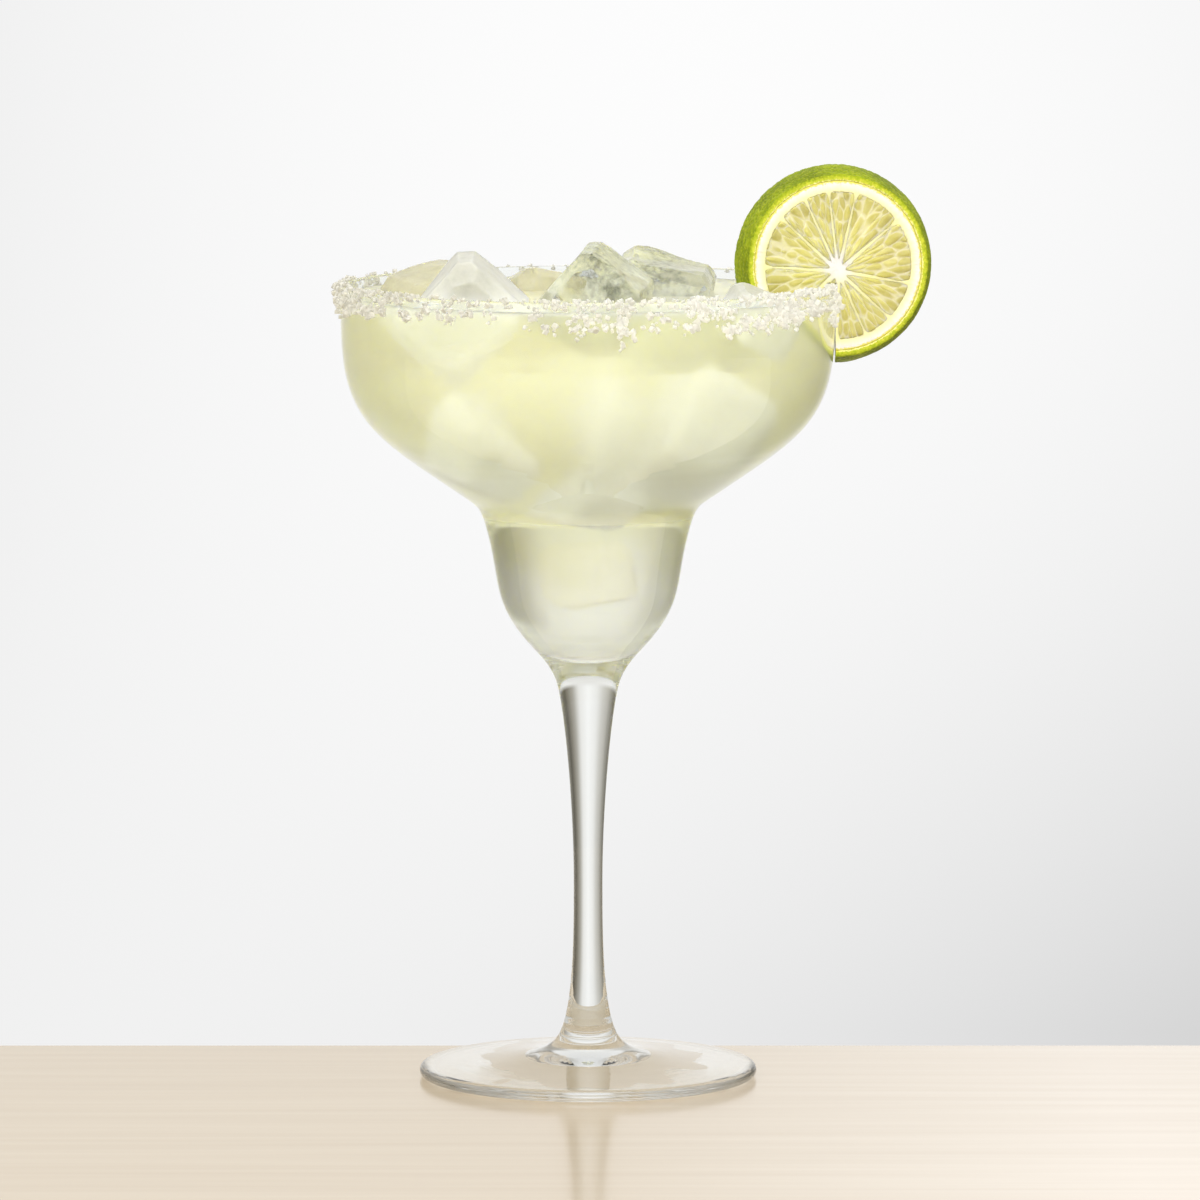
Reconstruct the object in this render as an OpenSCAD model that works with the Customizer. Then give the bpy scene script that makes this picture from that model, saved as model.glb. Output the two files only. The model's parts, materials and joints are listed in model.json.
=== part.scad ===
// Stemmed cocktail glass as it is served: foot, stem and bowl are fused glass, the bowl holds
// a cloudy drink with ice, and a slotted lime wheel sits on the salted rim.
// The origin is the centre of the foot's underside, Z is up, and the lime is on the X side.

/* [Foot] */
// Diameter of the foot
foot_d = 78.4; // [60:0.2:90]
// Thickness of the foot at its rounded edge
foot_edge = 2.7; // [1.6:0.1:4]
// Height of the foot at its fused joint with the stem
foot_h = 8.2; // [7:0.2:14]
// Diameter of the fused joint between foot and stem
foot_joint_d = 15.6; // [10:0.2:20]
// Height of the shallow hollow under the foot
foot_hollow = 2.2; // [1:0.1:2.6]
// Width of the flat ring that the foot stands on
foot_ring = 1.4; // [0.8:0.1:3]

/* [Stem] */
// Length of the stem between its fused joints
stem_h = 81.3; // [50:0.1:110]
// Diameter of the stem at its thinnest place
stem_waist_d = 6.7; // [5:0.1:9]
// Diameter of the fused joint between stem and bowl
stem_top_d = 13.4; // [10:0.2:18]

/* [Bowl] */
// Outside diameter of the rim
rim_d = 114; // [106:1:124]
// Height of the wide bowl from its neck to the rim
bowl_h = 57.5; // [54:0.5:66]
// Height of the straight band below the rim
rim_band = 9; // [5:0.5:13]
// Outside diameter of the bowl where its underside turns over
shoulder_d = 62.4; // [58:0.2:70]
// Height of that turn above the neck
shoulder_h = 10; // [8:0.5:13]
// Outside diameter of the neck
neck_d = 46.6; // [43:0.2:50]
// Height of the small cup from the stem to the neck
cup_h = 37.5; // [34:0.5:44]
// Outside diameter of the cup where its underside turns over
cup_turn_d = 24.8; // [22:0.2:28]
// Height of that turn above the stem
cup_turn_h = 10.2; // [8:0.2:13]
// Wall of the wide bowl
bowl_wall = 1.5; // [1:0.1:2.4]
// Wall at the neck
neck_wall = 2; // [1.4:0.1:2.8]
// Solid glass under the inside of the cup
cup_floor = 10.4; // [6:0.2:12]

/* [Drink] */
// Depth of the drink's surface below the rim
headspace = 3.4; // [2:0.2:7]
// Room between the drink and the ice or lime in it
drink_clearance = 0.3; // [0.2:0.05:0.6]

/* [Ice] */
// Edge of the largest ice block
ice_edge = 23.5; // [18:0.5:24]

/* [Lime] */
// Diameter of the lime that the wheel is sliced from
lime_d = 46.4; // [42:0.2:50]
// Thickness of the slice
lime_t = 7.5; // [5:0.5:9]
// Distance of the slice's front face from the middle of the lime
lime_cut = 9.8; // [7:0.2:11]
// Height of the wheel's centre above the rim
lime_rise = 4.4; // [3.4:0.2:8]
// Thickness of the green peel
peel_t = 1.4; // [0.8:0.1:2]
// Thickness of the white pith inside the peel
pith_t = 2.3; // [1.6:0.1:3.6]
// Distance of the white core below the wheel's centre
core_drop = 1.3; // [0:0.1:1.5]
// Thickness of the membranes between the segments
membrane_t = 0.5; // [0.4:0.1:1.2]
// Diameter of the white core
core_d = 2.2; // [1.6:0.2:3.4]
// Room between the slot in the wheel and the glass
slot_clearance = 0.4; // [0.3:0.05:0.8]

/* [Salt] */
// Edge of the largest salt grain
salt_grain = 1.9; // [1.4:0.1:2.4]
// Usual depth of the salt crust below the rim
salt_band = 4.5; // [2:0.5:7]

/* [Hidden] */
$fn = 96;
// Pieces of a smooth outline and of a rounded edge
curve_steps = 12;
edge_steps = 8;
// Free length that a cut runs past what it cuts
overrun = 1;

// Radii and heights that the pieces share
foot_r = foot_d / 2;
rim_r = rim_d / 2;
bowl_joint_z = foot_h + stem_h;
neck_z = bowl_joint_z + cup_h;
rim_z = neck_z + bowl_h;
floor_z = bowl_joint_z + cup_floor;
drink_z = rim_z - headspace;

// Lean of the outside at the end of each curve, in degrees out from upright
foot_edge_lean = -86;
foot_joint_lean = -45;
bowl_joint_lean = 11;
cup_turn_lean = 43.5;
neck_lean = 15;
shoulder_lean = 55.5;
upright = 0;
level = 90;

// Reach of a curve's two ends as shares of its chord
foot_top_shares = [0.09, 0.85];
foot_hollow_shares = [0.3, 0.45];
stem_lower_shares = [0.32, 0.17];
stem_upper_shares = [0.22, 0.34];
cup_base_shares = [0.51, 0.3];
cup_side_shares = [0.42, 0.5];
shoulder_shares = [0.54, 0.54];
belly_shares = [0.48, 0.47];
cup_inside_shares = [0.45, 0.32];
// Height of the stem's waist as a share of the stem
waist_share = 0.459;

// Joints of the outside from the rim down to the table, as [radius, height]
rim_point = [rim_r, rim_z - rim_band];
shoulder_point = [shoulder_d / 2, neck_z + shoulder_h];
neck_point = [neck_d / 2, neck_z];
cup_turn_point = [cup_turn_d / 2, bowl_joint_z + cup_turn_h];
bowl_joint_point = [stem_top_d / 2, bowl_joint_z];
waist_point = [stem_waist_d / 2, foot_h + waist_share * stem_h];
foot_joint_point = [foot_joint_d / 2, foot_h];
foot_edge_point = [foot_r - foot_edge / 2, foot_edge];
// Ends of the hollow under the foot: its top on the axis, and the inside of the standing ring
hollow_top_point = [0, foot_hollow];
ring_point = [foot_edge_point[0] - foot_ring, 0];

function direction(lean) = [sin(lean), cos(lean)];
function inward(lean) = [-cos(lean), sin(lean)];
function bezier(a, b, c, d, t) =
    pow(1 - t, 3) * a + 3 * t * pow(1 - t, 2) * b + 3 * t * t * (1 - t) * c + pow(t, 3) * d;
// Points of the curve from p down to q, without p itself
function flow(p, p_lean, q, q_lean, shares) =
    let (
        chord = norm(q - p),
        b = p - direction(p_lean) * shares[0] * chord,
        c = q + direction(q_lean) * shares[1] * chord
    )
    [for (i = [1:curve_steps]) bezier(p, b, c, q, i / curve_steps)];
function arc(centre, radius, from, to) =
    [for (i = [0:edge_steps]) centre + radius * [cos(from + (to - from) * i / edge_steps),
                                                 sin(from + (to - from) * i / edge_steps)]];
function reversed(points) = [for (i = [len(points) - 1:-1:0]) points[i]];

// Outsides of the three pieces of glass, each from its top down
bowl_outside = concat(
    [rim_point],
    flow(rim_point, upright, shoulder_point, shoulder_lean, belly_shares),
    flow(shoulder_point, shoulder_lean, neck_point, neck_lean, shoulder_shares),
    flow(neck_point, neck_lean, cup_turn_point, cup_turn_lean, cup_side_shares),
    flow(cup_turn_point, cup_turn_lean, bowl_joint_point, bowl_joint_lean, cup_base_shares)
);
stem_outside = concat(
    [bowl_joint_point],
    flow(bowl_joint_point, bowl_joint_lean, waist_point, upright, stem_upper_shares),
    flow(waist_point, upright, foot_joint_point, foot_joint_lean, stem_lower_shares)
);
foot_top = concat(
    [foot_joint_point],
    flow(foot_joint_point, foot_joint_lean, foot_edge_point, foot_edge_lean, foot_top_shares)
);
foot_underside = concat(
    [hollow_top_point],
    flow(hollow_top_point, -level, ring_point, foot_edge_lean, foot_hollow_shares)
);

// Inside of the bowl from the rim's band down to its floor, drawn in by inset
function cavity(inset) =
    let (
        band = rim_point - [bowl_wall + inset, 0],
        shoulder = shoulder_point + (bowl_wall + inset) * inward(shoulder_lean),
        neck = neck_point + (neck_wall + inset) * inward(neck_lean),
        floor = [0, floor_z + inset]
    )
    concat(
        [band],
        flow(band, upright, shoulder, shoulder_lean, belly_shares),
        flow(shoulder, shoulder_lean, neck, neck_lean, shoulder_shares),
        flow(neck, neck_lean, floor, level, cup_inside_shares)
    );

// Film of air between the drink and the glass
drink_film = 0.1;

// Ice blocks: name, place as shares of the rim's radius, height, edge, and tilt in degrees.
// A floating block's height above the drink's surface is a share of its own edge, and that one of ice_edge.
floating_ice_shares = [
    ["ice_left", [-0.472, -0.263], -0.128, 0.962, [8, 40, 4]],
    ["ice_back_left", [-0.618, 0.298], -0.21, 0.894, [4, -14, 30]],
    ["ice_back", [-0.184, 0.526], -0.297, 0.745, [-12, 8, 18]],
    ["ice_centre", [0.033, -0.14], 0.045, 0.851, [10, 40, -5]],
    ["ice_centre_right", [0.289, 0.307], -0.136, 1, [6, 13.5, -4]],
    ["ice_right", [0.658, -0.386], -0.228, 0.617, [15, 25, 20]]
];
// Depth of the floating ice as a share of ice_edge, and the room between it and the neck
ice_draught_share = 0.75;
sunk_room = bowl_h - headspace - ice_draught_share * ice_edge;
// A sunk block's height above the neck and its edge are shares of that room.
sunk_ice_shares = [
    ["ice_low_left", [-0.37, -0.123], 0.69, 0.5, [25, 10, 35]],
    ["ice_low_right", [0.386, -0.158], 0.768, 0.603, [-12, 30, 20]],
    ["ice_low_back", [0.07, 0.386], 0.754, 0.494, [10, 35, 10]]
];
// The neck block's height above the neck and its edge are shares of the neck's diameter.
neck_ice_shares = [["ice_neck", [-0.009, -0.088], 0.265, 0.365, [20, 12, 40]]];
// The lowest block's height is a share of the cup above the stem, and its edge one of ice_edge.
cup_ice_shares = [["ice_cup", [0.009, 0.0175], 0.79, 0.66, [6, -8, 15]]];
// Melted edges and one melted corner as shares of the block's edge
ice_bevel_share = 1.24;
ice_corner_share = 1.3;
ice_corner_tilt = [35, 24, 50];

// One block from its row: name, centre, edge as a share of scale, and tilt
function ice_block(row, height, scale) =
    [row[0], [row[1][0] * rim_r, row[1][1] * rim_r, height], row[3] * scale, row[4]];
ice_blocks = concat(
    [for (row = floating_ice_shares) ice_block(row, drink_z + row[2] * row[3] * ice_edge, ice_edge)],
    [for (row = sunk_ice_shares) ice_block(row, neck_z + row[2] * sunk_room, sunk_room)],
    [for (row = neck_ice_shares) ice_block(row, neck_z + row[2] * neck_d, neck_d)],
    [for (row = cup_ice_shares) ice_block(row, bowl_joint_z + row[2] * cup_h, ice_edge)]
);

// Lime wheel: turn of its face away from square to the rim, and the place of its centre
lime_turn = 8;
lime_x = rim_r;
lime_z = rim_z + lime_rise;
// Radii of the lime's peel, pith and pulp about the middle of the lime, which lies behind the slice
lime_r = lime_d / 2;
pith_r = lime_r - peel_t;
pulp_r = pith_r - pith_t;
lime_middle = [0, 0, lime_t / 2 - lime_cut];
core_place = [0, -core_drop];
// Film of air between peel and pith, and between pith and pulp
lime_film = 0.05;
// Angles of the membranes around the wheel, seen from the front; one lies along the slot
membrane_turns = [-10, 40, 77, 97, 115, 137, 176, 222, 270, 294, 318];
segment_count = len(membrane_turns);
// Rounding of a segment's outer corners, as a share of its length and the power of its curve
segment_corner_share = 0.22;
segment_corner_power = 5;

// Salt: spacing of the grains and the smallest grain as shares of the largest, and half the
// diagonal of a grain as a share of its edge
salt_pitch_share = 1.75;
salt_smallest_share = 0.6;
salt_half_diagonal_share = 0.87;
// Film of air between a grain and the glass
salt_film = 0.1;
salt_pitch = salt_pitch_share * salt_grain;
salt_turns = floor(2 * PI * rim_r / salt_pitch);
// Plain depth of the crust as a share of the band, and the waves of its lower edge
// as [share of the band, waves around the rim, start angle]
salt_plain_share = 0.7;
salt_wave_shares = [[0.35, 5, 40], [0.3, 13, 200], [0.25, 29, 120]];
// Drips as [angle, width in degrees, share of the band]
salt_drip_shares = [[-85, 4, 1.3], [-99, 5, 1], [-20, 7, 0.8], [150, 8, 0.6]];

module foot() {
    edge_centre = [foot_r - foot_edge / 2, foot_edge / 2];
    color("powderblue", 0.6)
        rotate_extrude()
            polygon(concat(foot_underside, arc(edge_centre, foot_edge / 2, -90, 90),
                           [for (i = [len(foot_top) - 2:-1:0]) foot_top[i]], [[0, foot_h]]));
}

module stem() {
    color("lightblue", 0.6)
        rotate_extrude()
            polygon(concat([[0, foot_h]], reversed(stem_outside), [[0, bowl_joint_z]]));
}

module bowl() {
    lip_centre = [rim_r - bowl_wall / 2, rim_z - bowl_wall / 2];
    color("lightcyan", 0.4)
        rotate_extrude()
            polygon(concat([[0, bowl_joint_z]], reversed(bowl_outside),
                           arc(lip_centre, bowl_wall / 2, 0, 180), cavity(0)));
}

module drink() {
    film = cavity(drink_film);
    color("palegoldenrod", 0.8)
        difference() {
            intersection() {
                rotate_extrude()
                    polygon(concat([[0, rim_z], [film[0][0], rim_z]], film));
                cylinder(h = drink_z, r = rim_r);
            }
            for (block = ice_blocks)
                ice_shape(block, drink_clearance);
            at_rim()
                lime_slice(lime_r, drink_clearance);
        }
}

module ice_shape(block, grow) {
    edge = block[2] + 2 * grow;
    translate(block[1])
        rotate(block[3])
            intersection() {
                cube(edge, center = true);
                rotate([45, 0, 0]) cube(edge * ice_bevel_share, center = true);
                rotate([0, 45, 0]) cube(edge * ice_bevel_share, center = true);
                rotate([0, 0, 45]) cube(edge * ice_bevel_share, center = true);
                rotate(ice_corner_tilt) cube(edge * ice_corner_share, center = true);
            }
}

module ice(block) {
    color("azure", 0.7)
        ice_shape(block, 0);
}

// Puts a wheel that lies flat at the origin upright on the rim
module at_rim() {
    translate([lime_x, 0, lime_z])
        rotate([0, 0, lime_turn])
            rotate([90, 0, 0])
                children();
}

// Wheel parts on the rim, with the slot that lets them down over the wall
module slotted() {
    inside = cavity(slot_clearance);
    slot_top = rim_z + slot_clearance;
    slot_r = rim_r + slot_clearance;
    difference() {
        at_rim() children();
        rotate_extrude()
            polygon(concat([[slot_r, neck_z], [slot_r, slot_top], [inside[0][0], slot_top]],
                           [for (p = inside) if (p[1] > neck_z) p]));
    }
}

// Slice of a ball of radius r about the middle of the lime, with every face moved out by grow
module lime_slice(r, grow) {
    intersection() {
        translate(lime_middle) sphere(r + grow);
        cylinder(h = lime_t + 2 * grow, r = r + grow, center = true);
    }
}

module lime_peel() {
    color("yellowgreen")
        slotted()
            difference() {
                lime_slice(lime_r, 0);
                translate(lime_middle) sphere(pith_r);
            }
}

module lime_pith() {
    color("lightyellow")
        slotted()
            difference() {
                lime_slice(pith_r, -lime_film);
                for (i = [0:segment_count - 1])
                    segment_shape(i, pulp_r, overrun);
            }
}

module lime_segment(i) {
    color("khaki")
        slotted()
            segment_shape(i, pulp_r - lime_film, 0);
}

// Wedge of pulp out to radius r about the middle of the lime, longer than the slice by past at each face
module segment_shape(i, r, past) {
    intersection() {
        linear_extrude(lime_t + 2 * past, center = true)
            polygon(segment_points(i));
        translate(lime_middle) sphere(r);
    }
}

// Distance from the core to the widest round of the pulp in the direction turn
function pulp_reach(turn) =
    let (along = core_place * [cos(turn), sin(turn)])
    sqrt(pow(pulp_r, 2) - pow(core_drop, 2) + pow(along, 2)) - along;

// Outline of the wedge between two membranes, pointed at the core and rounded at the pith
function segment_points(i) =
    let (
        from = membrane_turns[i],
        to = i + 1 < segment_count ? membrane_turns[i + 1] : membrane_turns[0] + 360,
        middle = (from + to) / 2,
        half = (to - from) / 2,
        tip_r = core_d / 2 + membrane_t / 2 / sin(half)
    )
    concat(
        [core_place + tip_r * [cos(middle), sin(middle)]],
        [for (step = [-curve_steps:curve_steps])
            let (
                across = step / curve_steps,
                reach = pulp_reach(middle + across * half),
                r = reach * (1 - segment_corner_share * pow(abs(across), segment_corner_power)),
                turn = middle + across * (half - asin(membrane_t / 2 / r))
            )
            core_place + r * [cos(turn), sin(turn)]]
    );

// Depth of the crust below the rim at an angle around it
function angle_between(a, b) = abs((a - b + 540) % 360 - 180);
function sum(values) = [for (v = values) 1] * values;
function salt_depth(turn) =
    salt_band * (salt_plain_share
        + sum([for (w = salt_wave_shares) w[0] * sin(w[1] * turn + w[2])])
        + sum([for (d = salt_drip_shares) d[2] * exp(-pow(angle_between(turn, d[0]) / d[1], 2))]));
// A grain stays if it is clear of the lime wheel and of the wheel's way up
function clear_of_lime(place) =
    abs(place[1] * cos(lime_turn) - (place[0] - lime_x) * sin(lime_turn))
        > lime_t / 2 + slot_clearance + salt_half_diagonal_share * salt_grain || place[0] < 0;

// A grain on the glass at seat, which stands off along outward by half its own diagonal
module salt_grain_on(seat, outward, seed) {
    draw = rands(0, 1, 4, seed);
    edge = salt_grain * (salt_smallest_share + (1 - salt_smallest_share) * draw[3]);
    place = seat + outward * (salt_film + salt_half_diagonal_share * edge);
    if (clear_of_lime(place))
        translate(place)
            rotate(360 * [draw[0], draw[1], draw[2]])
                cube(edge, center = true);
}

module salt_rim() {
    lip_r = rim_r - bowl_wall / 2;
    color("white")
        for (i = [0:salt_turns - 1]) {
            turn = 360 * i / salt_turns;
            rows = floor(salt_depth(turn) / salt_pitch);
            salt_grain_on([lip_r * cos(turn), lip_r * sin(turn), rim_z], [0, 0, 1], i);
            for (row = [0:1:rows])
                let (
                    side = turn + (row % 2) * 180 / salt_turns,
                    outward = [cos(side), sin(side), 0],
                    height = rim_z - bowl_wall / 2 - row * salt_pitch
                )
                salt_grain_on([0, 0, height] + rim_r * outward, outward, i + salt_turns * (row + 1));
        }
}

foot();
stem();
bowl();
drink();
salt_rim();
lime_peel();
lime_pith();
for (i = [0:segment_count - 1])
    lime_segment(i);
for (block = ice_blocks)
    ice(block);
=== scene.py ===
import json
import math
import random
from collections import defaultdict

import bmesh
import bpy
import numpy as np
from mathutils import Euler, Matrix, Vector, noise
from mathutils.kdtree import KDTree


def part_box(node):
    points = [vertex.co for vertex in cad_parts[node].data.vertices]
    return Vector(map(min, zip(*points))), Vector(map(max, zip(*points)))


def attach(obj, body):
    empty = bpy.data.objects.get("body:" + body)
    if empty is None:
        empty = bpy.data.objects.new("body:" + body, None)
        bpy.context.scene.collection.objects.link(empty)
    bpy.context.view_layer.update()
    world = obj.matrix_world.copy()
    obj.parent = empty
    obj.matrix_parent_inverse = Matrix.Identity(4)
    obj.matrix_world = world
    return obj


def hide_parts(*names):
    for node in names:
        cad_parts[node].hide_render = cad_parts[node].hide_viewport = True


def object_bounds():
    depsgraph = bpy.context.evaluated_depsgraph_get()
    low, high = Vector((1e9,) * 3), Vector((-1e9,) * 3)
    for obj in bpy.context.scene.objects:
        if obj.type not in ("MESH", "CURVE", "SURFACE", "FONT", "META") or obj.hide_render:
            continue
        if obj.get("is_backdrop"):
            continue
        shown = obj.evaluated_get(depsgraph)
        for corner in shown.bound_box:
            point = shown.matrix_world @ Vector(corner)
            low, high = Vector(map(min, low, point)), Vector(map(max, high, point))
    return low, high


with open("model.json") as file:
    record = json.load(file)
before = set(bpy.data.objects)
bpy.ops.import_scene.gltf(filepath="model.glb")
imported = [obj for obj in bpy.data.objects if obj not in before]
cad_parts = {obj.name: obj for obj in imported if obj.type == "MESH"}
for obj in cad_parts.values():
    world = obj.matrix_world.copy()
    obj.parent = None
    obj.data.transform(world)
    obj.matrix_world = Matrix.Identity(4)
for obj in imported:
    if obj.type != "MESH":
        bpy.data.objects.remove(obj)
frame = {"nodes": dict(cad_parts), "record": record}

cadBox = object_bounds()
mm = 0.001
print("frame loaded:", len(frame["nodes"]), "nodes")


# Small helpers for meshes

def meshPiece(name, points, faces, smooth=True):
    mesh = bpy.data.meshes.new(name)
    mesh.from_pydata([tuple(p) for p in points], [], faces)
    mesh.validate()
    mesh.update()
    if smooth:
        mesh.shade_smooth()
    return objectFor(name, mesh)


def objectFor(name, mesh):
    piece = bpy.data.objects.new(name, mesh)
    bpy.context.scene.collection.objects.link(piece)
    return piece


def seat(piece, body, slot, *nodes):
    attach(piece, body)
    if nodes:
        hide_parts(*nodes)
    return piece


def storeValues(mesh, name, values):
    layer = mesh.attributes.new(name, "FLOAT", "POINT")
    layer.data.foreach_set("value", np.asarray(values, np.float32))


def vertexArray(mesh):
    places = np.zeros(len(mesh.vertices) * 3)
    mesh.vertices.foreach_get("co", places)
    return places.reshape(-1, 3)


def normalArray(mesh):
    normals = np.zeros(len(mesh.vertices) * 3)
    mesh.vertex_normals.foreach_get("vector", normals)
    return normals.reshape(-1, 3)


def placeVertices(mesh, places):
    mesh.vertices.foreach_set("co", np.asarray(places, float).ravel())
    mesh.update()


def smoothstep(low, high, value):
    t = np.clip((value - low) / (high - low), 0, 1)
    return t * t * (3 - 2 * t)


# A node's solid as an even grid of small faces, rounded a little by smoothing
def evenMesh(node, voxel, smoothing=0):
    copy = objectFor(node + "_grid", frame["nodes"][node].data.copy())
    work = bmesh.new()
    work.from_mesh(copy.data)
    bmesh.ops.remove_doubles(work, verts=work.verts, dist=0.002 * mm)
    work.to_mesh(copy.data)
    work.free()
    grid = copy.modifiers.new("grid", "REMESH")
    grid.mode = "VOXEL"
    grid.voxel_size = voxel
    if smoothing:
        ease = copy.modifiers.new("ease", "SMOOTH")
        ease.factor = 0.5
        ease.iterations = smoothing
    shaped = copy.evaluated_get(bpy.context.evaluated_depsgraph_get())
    mesh = bpy.data.meshes.new_from_object(shaped)
    bpy.data.objects.remove(copy)
    mesh.materials.clear()
    for layer in [a for a in mesh.attributes if a.name.startswith("UVMap")]:
        mesh.attributes.remove(layer)
    mesh.shade_smooth()
    return mesh


# Small helpers for shader nodes

def paint(red, green, blue):
    # display values from 0 to 255 as the linear colour that shaders use
    linear = [c / 3294.6 if c <= 10.3 else ((c / 255 + 0.055) / 1.055) ** 2.4 for c in (red, green, blue)]
    return (*linear, 1)


def feed(tree, socket, value):
    if isinstance(value, bpy.types.NodeSocket):
        tree.links.new(value, socket)
    else:
        socket.default_value = value


def addNode(tree, kind, values):
    made = tree.nodes.new(kind)
    for label, value in values.items():
        feed(tree, made.inputs[label], value)
    return made


def blendColours(tree, factor, low, high):
    mix = tree.nodes.new("ShaderNodeMix")
    mix.data_type = "RGBA"
    feed(tree, mix.inputs[0], factor)
    feed(tree, mix.inputs[6], low)
    feed(tree, mix.inputs[7], high)
    return mix.outputs[2]


def remap(tree, value, fromLow, fromHigh, toLow, toHigh):
    span = {"Value": value, "From Min": fromLow, "From Max": fromHigh, "To Min": toLow, "To Max": toHigh}
    return addNode(tree, "ShaderNodeMapRange", span).outputs["Result"]


def maths(tree, operation, *values):
    made = tree.nodes.new("ShaderNodeMath")
    made.operation = operation
    for socket, value in zip(made.inputs, values):
        feed(tree, socket, value)
    return made.outputs[0]


def stored(tree, name):
    made = tree.nodes.new("ShaderNodeAttribute")
    made.attribute_name = name
    return made.outputs["Fac"]


def bumped(tree, height, strength, distance):
    made = addNode(tree, "ShaderNodeBump", {"Height": height, "Strength": strength, "Distance": distance})
    return made.outputs["Normal"]


def newMaterial(name, **settings):
    material = bpy.data.materials.new(name)
    material.use_nodes = True
    tree = material.node_tree
    shader = tree.nodes["Principled BSDF"]
    for label, value in settings.items():
        shader.inputs[label.replace("_", " ")].default_value = value
    return material, tree, shader.inputs


def newGroup(name, inputs, outputs):
    group = bpy.data.node_groups.new(name, "ShaderNodeTree")
    for label, value in inputs.items():
        kind = "NodeSocketColor" if isinstance(value, tuple) else "NodeSocketFloat"
        group.interface.new_socket(label, in_out="INPUT", socket_type=kind).default_value = value
    for label, kind in outputs.items():
        group.interface.new_socket(label, in_out="OUTPUT", socket_type=kind)
    return group, group.nodes.new("NodeGroupInput").outputs, group.nodes.new("NodeGroupOutput").inputs


def useGroup(tree, group, values):
    made = tree.nodes.new("ShaderNodeGroup")
    made.node_tree = group
    for label, value in values.items():
        feed(tree, made.inputs[label], value)
    return made.outputs


# Effects that several materials share

def makeMottle():
    # cloudy change between two colours, with its mask
    inputs = {"Scale": 200.0, "Soft": 0.2, "Dark": (0, 0, 0, 1), "Light": (1, 1, 1, 1)}
    group, given, out = newGroup("mottle", inputs, {"Color": "NodeSocketColor", "Mask": "NodeSocketFloat"})
    place = group.nodes.new("ShaderNodeTexCoord").outputs["Object"]
    clouds = addNode(group, "ShaderNodeTexNoise",
                     {"Vector": place, "Scale": given["Scale"], "Detail": 5.0, "Roughness": 0.6})
    low = maths(group, "SUBTRACT", 0.5, given["Soft"])
    high = maths(group, "ADD", 0.5, given["Soft"])
    mask = remap(group, clouds.outputs["Fac"], low, high, 0.0, 1.0)
    group.links.new(mask, out["Mask"])
    group.links.new(blendColours(group, mask, given["Dark"], given["Light"]), out["Color"])
    return group


def makeRelief():
    # height of a wet, slightly uneven surface, in a coarse and a fine grain
    group, given, out = newGroup("relief", {"Coarse": 120.0, "Fine": 900.0, "Share": 0.3},
                                 {"Height": "NodeSocketFloat"})
    place = group.nodes.new("ShaderNodeTexCoord").outputs["Object"]
    waves = addNode(group, "ShaderNodeTexNoise", {"Vector": place, "Scale": given["Coarse"], "Detail": 2.0})
    grains = addNode(group, "ShaderNodeTexNoise", {"Vector": place, "Scale": given["Fine"], "Detail": 3.0})
    mix = group.nodes.new("ShaderNodeMix")
    feed(group, mix.inputs[0], given["Share"])
    feed(group, mix.inputs[2], waves.outputs["Fac"])
    feed(group, mix.inputs[3], grains.outputs["Fac"])
    group.links.new(mix.outputs[0], out["Height"])
    return group


def makeHaze():
    # roughness that wanders between a clear and a misted value
    group, given, out = newGroup("haze", {"Scale": 60.0, "Clear": 0.0, "Misted": 0.1},
                                 {"Roughness": "NodeSocketFloat"})
    place = group.nodes.new("ShaderNodeTexCoord").outputs["Object"]
    cloud = addNode(group, "ShaderNodeTexNoise", {"Vector": place, "Scale": given["Scale"], "Detail": 4.0})
    roughness = remap(group, cloud.outputs["Fac"], 0.4, 0.7, given["Clear"], given["Misted"])
    group.links.new(roughness, out["Roughness"])
    return group


mottle = makeMottle()
relief = makeRelief()
haze = makeHaze()
print("shader groups made")


def mottled(tree, scale, soft, dark, light):
    return useGroup(tree, mottle, {"Scale": scale, "Soft": soft, "Dark": dark, "Light": light})["Color"]


def speckled(tree, scale, soft):
    return useGroup(tree, mottle, {"Scale": scale, "Soft": soft})["Mask"]


def giveHaze(tree, inputs, scale, clear, misted):
    cloud = useGroup(tree, haze, {"Scale": scale, "Clear": clear, "Misted": misted})
    feed(tree, inputs["Roughness"], cloud["Roughness"])


def giveRelief(tree, inputs, coarse, fine, share, strength, distance):
    waves = useGroup(tree, relief, {"Coarse": coarse, "Fine": fine, "Share": share})
    feed(tree, inputs["Normal"], bumped(tree, waves["Height"], strength, distance))


# Camera at the photograph's place: a long lens, a little above the rim

cameraView = {
    "place": (0.00276, -1.95, 0.3328),
    "pitch": 83.515,      # degrees from straight down
    "lens": 254.5,        # mm on a 36 mm square frame
}


def buildCamera():
    camera = bpy.data.cameras.new("camera")
    camera.lens = cameraView["lens"]
    camera.sensor_width = 36
    camera.clip_end = 20
    holder = bpy.data.objects.new("camera", camera)
    holder.location = cameraView["place"]
    holder.rotation_euler = (math.radians(cameraView["pitch"]), 0, 0)
    bpy.context.scene.collection.objects.link(holder)
    bpy.context.scene.camera = holder


buildCamera()


# Glass: foot, stem and bowl share one smooth outline read from the frame, so their fused joints don't show

glass = {
    "turns": 192,
    "step": 0.8 * mm,         # along the outline
    "ringMatch": 0.006 * mm,  # rings nearer than this are one ring
    "tint": paint(251, 253, 252),
    "ior": 1.5,
    "dampIor": 1.13,          # where a film of water lies between the foot and the board
    "dampFrom": 14 * mm,         # from the axis
    "damp": (24 * mm, 33 * mm),  # how far it reaches to the sides and to the front
    "dampRagged": (95.0, 0.35),  # scale and depth of its border
    "dampFacing": -0.7,          # faces that look down more than this
    "smears": {"scale": 45.0, "clear": 0.005, "misted": 0.02},
    "ripples": {"coarse": 55.0, "fine": 160.0, "share": 0.15, "strength": 0.05, "distance": 0.4 * mm},
}


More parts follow.
